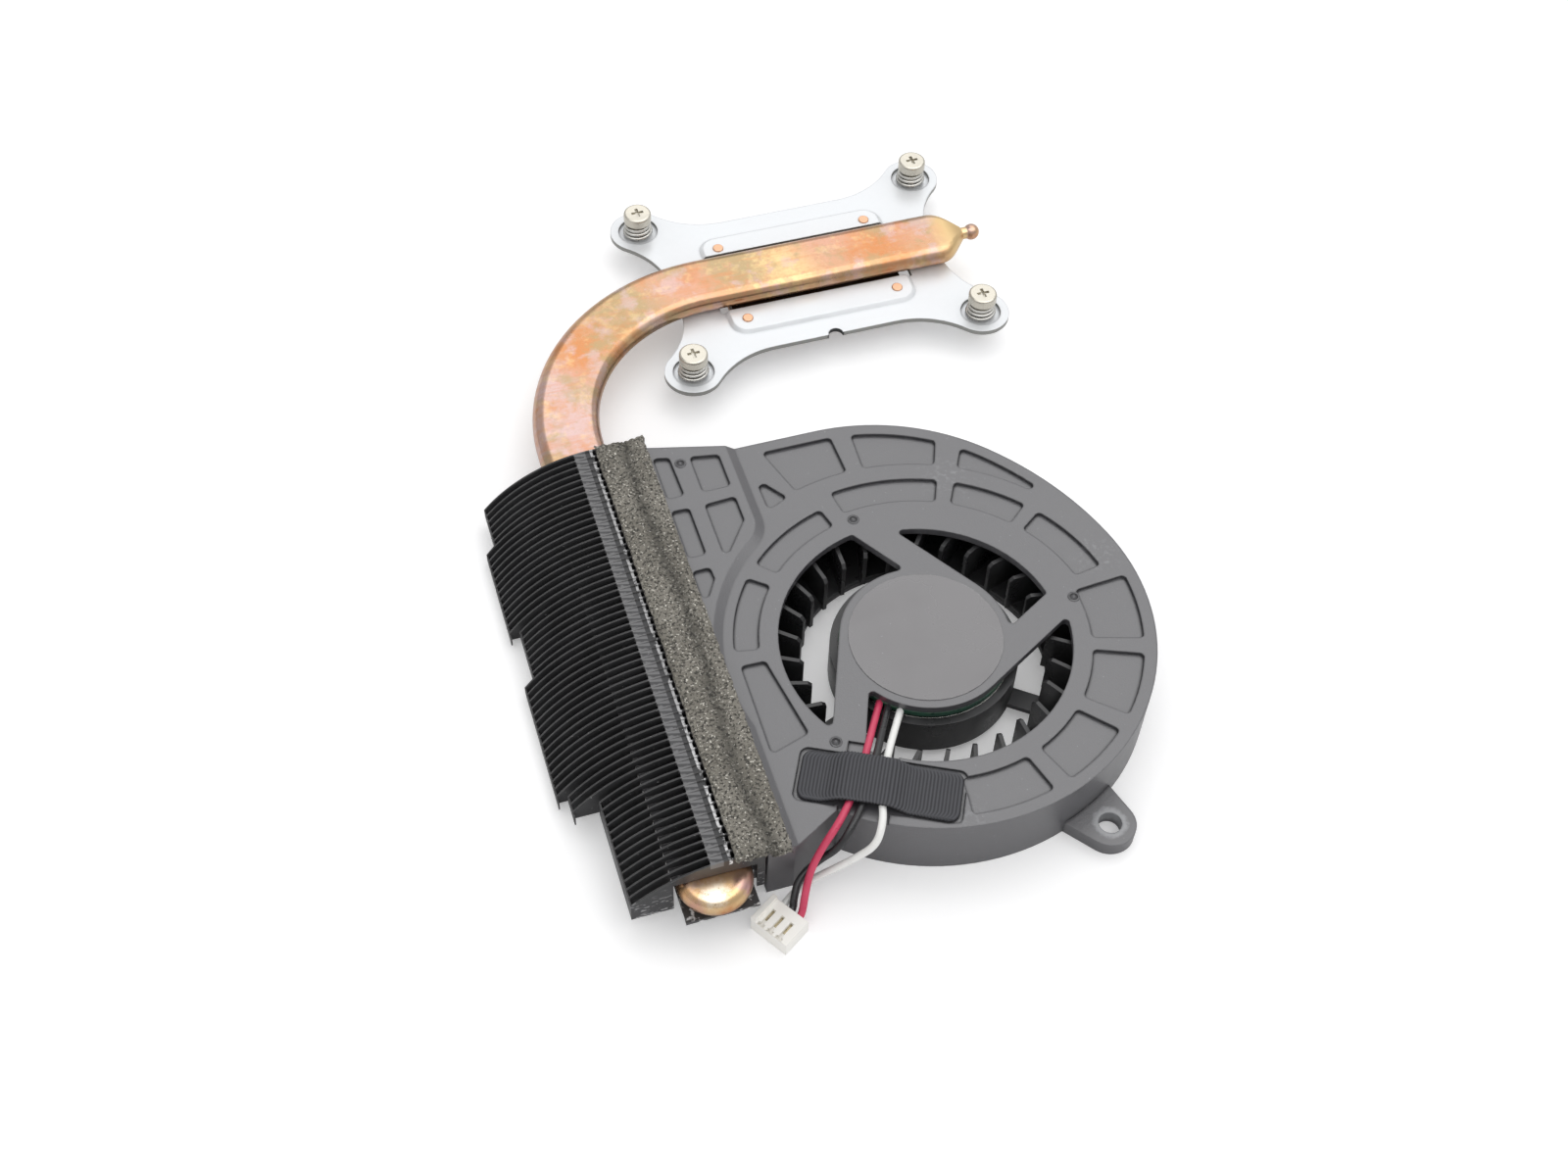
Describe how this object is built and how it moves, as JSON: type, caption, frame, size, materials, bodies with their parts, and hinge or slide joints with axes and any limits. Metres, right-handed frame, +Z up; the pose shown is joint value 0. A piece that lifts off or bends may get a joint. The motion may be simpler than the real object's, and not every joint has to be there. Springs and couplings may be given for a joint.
{
  "type": "laptop cooling fan heatsink",
  "caption": "Flat blower fan with a fin stack at its outlet and a bent flat heat pipe that runs to a copper contact block on a sprung-screw bracket.",
  "frame": {"origin": "centre of the copper contact block's lower face, which presses on the processor", "axes": "+Z up, away from the processor; +X along the bracket towards the pipe's crimped end; +Y along the fin stack, from the fan towards the bracket"},
  "size_m": [0.094, 0.1383, 0.0125],
  "materials": {
    "copper_pipe": "bare copper, oxidised in patches",
    "copper": "bare copper",
    "zinc_steel": "pale zinc plate",
    "nickel_steel": "nickel plate",
    "steel": "plain steel",
    "black_fin": "blackened",
    "grey_foam": "open-cell foam",
    "dark_plastic": "fine matt grain",
    "black_plastic": "satin",
    "label_film": "smooth film",
    "brass": "turned",
    "white_plastic": "plain",
    "green_board": "dark green coat",
    "magnet": "plain",
    "black_cloth": "ribbed cloth",
    "red_sleeve": "soft insulation",
    "black_sleeve": "soft insulation",
    "white_sleeve": "soft insulation",
    "ivory_plastic": "plain"
  },
  "bodies": {
    "frame": {"heat_pipe": "copper_pipe", "pipe_wick": "copper", "contact_block": "copper", "cpu_bracket": "zinc_steel", "block_rivets": "copper", "screw_spring_1": "steel", "screw_spring_2": "steel", "screw_spring_3": "steel", "screw_spring_4": "steel", "fins_a": "black_fin", "fins_b": "black_fin", "fins_c": "black_fin", "fins_d": "black_fin", "fins_e": "black_fin", "fins_f": "black_fin", "pipe_saddle": "black_fin", "foam_seal": "grey_foam", "fan_housing": "dark_plastic", "fan_bottom_plate": "dark_plastic", "hub_label": "label_film", "bearing_tube": "brass", "bearing_sleeve": "brass", "thrust_disc": "white_plastic", "motor_board": "green_board", "stator_core": "steel", "stator_coils": "copper", "cloth_tape": "black_cloth", "wire_red": "red_sleeve", "wire_black": "black_sleeve", "wire_white": "white_sleeve", "plug": "ivory_plastic", "plug_contacts": "brass"},
    "rotor": {"impeller": "black_plastic", "rotor_yoke": "steel", "rotor_magnet": "magnet", "shaft": "steel"},
    "clip_1": {"screw_clip_1": "nickel_steel"},
    "screw_1": {"spring_screw_1": "nickel_steel"},
    "clip_2": {"screw_clip_2": "nickel_steel"},
    "screw_2": {"spring_screw_2": "nickel_steel"},
    "clip_3": {"screw_clip_3": "nickel_steel"},
    "screw_3": {"spring_screw_3": "nickel_steel"},
    "clip_4": {"screw_clip_4": "nickel_steel"},
    "screw_4": {"spring_screw_4": "nickel_steel"}
  },
  "joints": [
    {"name": "impeller_spin", "type": "hinge", "parent": "frame", "child": "rotor", "pos_m": [-0.0088, -0.0801, 0], "axis": [0, 0, 1], "continuous": true},
    {"name": "screw_1_press", "type": "slide", "parent": "frame", "child": "clip_1", "axis": [0, 0, 1], "range_m": [-0.0012, 0], "stiffness_N_per_m": 3000, "springref_m": 0.0005, "deforming": ["screw_spring_1"]},
    {"name": "screw_1_turn", "type": "hinge", "parent": "clip_1", "child": "screw_1", "pos_m": [-0.0245, 0.017, 0], "axis": [0, 0, 1], "continuous": true},
    {"name": "screw_2_press", "type": "slide", "parent": "frame", "child": "clip_2", "axis": [0, 0, 1], "range_m": [-0.0012, 0], "stiffness_N_per_m": 3000, "springref_m": 0.0005, "deforming": ["screw_spring_2"]},
    {"name": "screw_2_turn", "type": "hinge", "parent": "clip_2", "child": "screw_2", "pos_m": [0.0245, 0.017, 0], "axis": [0, 0, 1], "continuous": true},
    {"name": "screw_3_press", "type": "slide", "parent": "frame", "child": "clip_3", "axis": [0, 0, 1], "range_m": [-0.0012, 0], "stiffness_N_per_m": 3000, "springref_m": 0.0005, "deforming": ["screw_spring_3"]},
    {"name": "screw_3_turn", "type": "hinge", "parent": "clip_3", "child": "screw_3", "pos_m": [0.0245, -0.017, 0], "axis": [0, 0, 1], "continuous": true},
    {"name": "screw_4_press", "type": "slide", "parent": "frame", "child": "clip_4", "axis": [0, 0, 1], "range_m": [-0.0012, 0], "stiffness_N_per_m": 3000, "springref_m": 0.0005, "deforming": ["screw_spring_4"]},
    {"name": "screw_4_turn", "type": "hinge", "parent": "clip_4", "child": "screw_4", "pos_m": [-0.0245, -0.017, 0], "axis": [0, 0, 1], "continuous": true}
  ]
}
